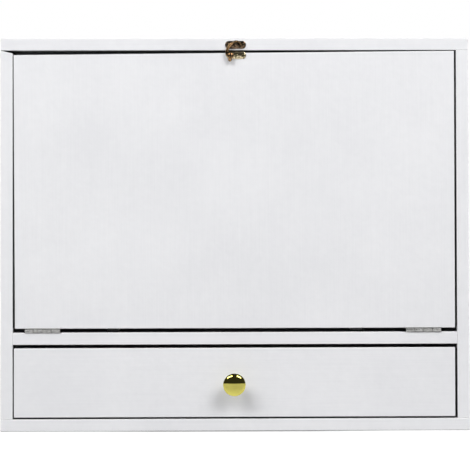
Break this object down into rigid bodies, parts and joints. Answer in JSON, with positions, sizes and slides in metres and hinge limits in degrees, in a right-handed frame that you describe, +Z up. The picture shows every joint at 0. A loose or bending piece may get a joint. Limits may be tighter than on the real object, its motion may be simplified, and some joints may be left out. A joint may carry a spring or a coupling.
{
  "type": "fold down wall desk",
  "caption": "White wall-hung box desk whose drop flap, held by a swing-hook latch and sliding stays, opens into a writing surface over a knobbed drawer.",
  "frame": {"origin": "on the wall plane, midway between the two wall holes of the hanging rail", "axes": "+X to the right of a person facing the desk, +Y into the wall, +Z up"},
  "size_m": [0.6, 0.206, 0.503],
  "materials": {
    "white_paint": "satin white paint on board",
    "white_sheet": "white faced hardboard",
    "beech": "bare beech",
    "polished_brass": "polished gold plate",
    "antique_brass": "polished bronze-toned plate",
    "nickel": "nickel plate",
    "zinc": "bright zinc plate",
    "stay_steel": "nickel plated steel"
  },
  "bodies": {
    "case": {"top_panel": "white_paint", "bottom_panel": "white_paint", "left_side_panel": "white_paint", "right_side_panel": "white_paint", "desk_shelf": "white_paint", "inner_shelf": "white_paint", "left_divider": "white_paint", "right_divider": "white_paint", "back_panel": "white_sheet", "hanging_rail": "white_paint", "dowels": "beech", "cam_bolts": "zinc", "cam_discs": "zinc", "back_pins": "zinc", "left_drawer_runner": "beech", "right_drawer_runner": "beech", "runner_screws": "zinc", "left_hinge_shelf_leaf": "nickel", "right_hinge_shelf_leaf": "nickel", "left_hinge_pin": "nickel", "right_hinge_pin": "nickel", "hinge_shelf_screws": "nickel", "latch_keeper": "antique_brass", "latch_keeper_screws": "antique_brass", "left_guide_plate": "stay_steel", "right_guide_plate": "stay_steel", "guide_plate_screws": "zinc"},
    "flap": {"flap": "white_paint", "left_hinge_flap_leaf": "nickel", "right_hinge_flap_leaf": "nickel", "hinge_flap_screws": "nickel", "latch_hook_plate": "antique_brass", "latch_hook_rivet": "antique_brass", "latch_hook_screws": "antique_brass", "left_stay_bracket": "stay_steel", "right_stay_bracket": "stay_steel", "stay_rivets": "stay_steel", "bracket_screws": "zinc"},
    "latch_hook": {"latch_hook": "antique_brass"},
    "left_stay_rod": {"left_stay_rod": "stay_steel", "left_stop_collar": "stay_steel"},
    "right_stay_rod": {"right_stay_rod": "stay_steel", "right_stop_collar": "stay_steel"},
    "left_stay_guide": {"left_stay_guide": "stay_steel"},
    "right_stay_guide": {"right_stay_guide": "stay_steel"},
    "drawer": {"drawer_front": "white_paint", "left_drawer_side": "white_paint", "right_drawer_side": "white_paint", "drawer_back": "white_paint", "drawer_bottom": "white_sheet", "drawer_dowels": "beech", "drawer_screws": "zinc", "drawer_knob": "polished_brass", "knob_screw": "zinc"}
  },
  "joints": [
    {"name": "flap_hinge", "type": "hinge", "parent": "case", "child": "flap", "pos_m": [0, -0.1804, -0.32915], "axis": [1, 0, 0], "range_deg": [0, 90]},
    {"name": "drawer_slide", "type": "slide", "parent": "case", "child": "drawer", "axis": [0, -1, 0], "range_m": [0, 0.11]},
    {"name": "latch_swing", "type": "hinge", "parent": "flap", "child": "latch_hook", "pos_m": [-0.0054, -0.18, 0.0224], "axis": [0, -1, 0], "range_deg": [-3, 80]},
    {"name": "left_rod_pivot", "type": "hinge", "parent": "flap", "child": "left_stay_rod", "pos_m": [-0.2745, -0.1545, -0.24505], "axis": [1, 0, 0], "range_deg": [-45, 0]},
    {"name": "left_guide_pivot", "type": "hinge", "parent": "case", "child": "left_stay_guide", "pos_m": [-0.2745, -0.13445, -0.2541], "axis": [1, 0, 0], "range_deg": [0, 45]},
    {"name": "right_rod_pivot", "type": "hinge", "parent": "flap", "child": "right_stay_rod", "pos_m": [0.2745, -0.1545, -0.24505], "axis": [1, 0, 0], "range_deg": [-45, 0]},
    {"name": "right_guide_pivot", "type": "hinge", "parent": "case", "child": "right_stay_guide", "pos_m": [0.2745, -0.13445, -0.2541], "axis": [1, 0, 0], "range_deg": [0, 45]}
  ],
  "couplings": [
    {"joint": "left_rod_pivot", "follows": "flap_hinge", "ratio": -0.5},
    {"joint": "left_guide_pivot", "follows": "flap_hinge", "ratio": 0.5},
    {"joint": "right_rod_pivot", "follows": "flap_hinge", "ratio": -0.5},
    {"joint": "right_guide_pivot", "follows": "flap_hinge", "ratio": 0.5}
  ]
}
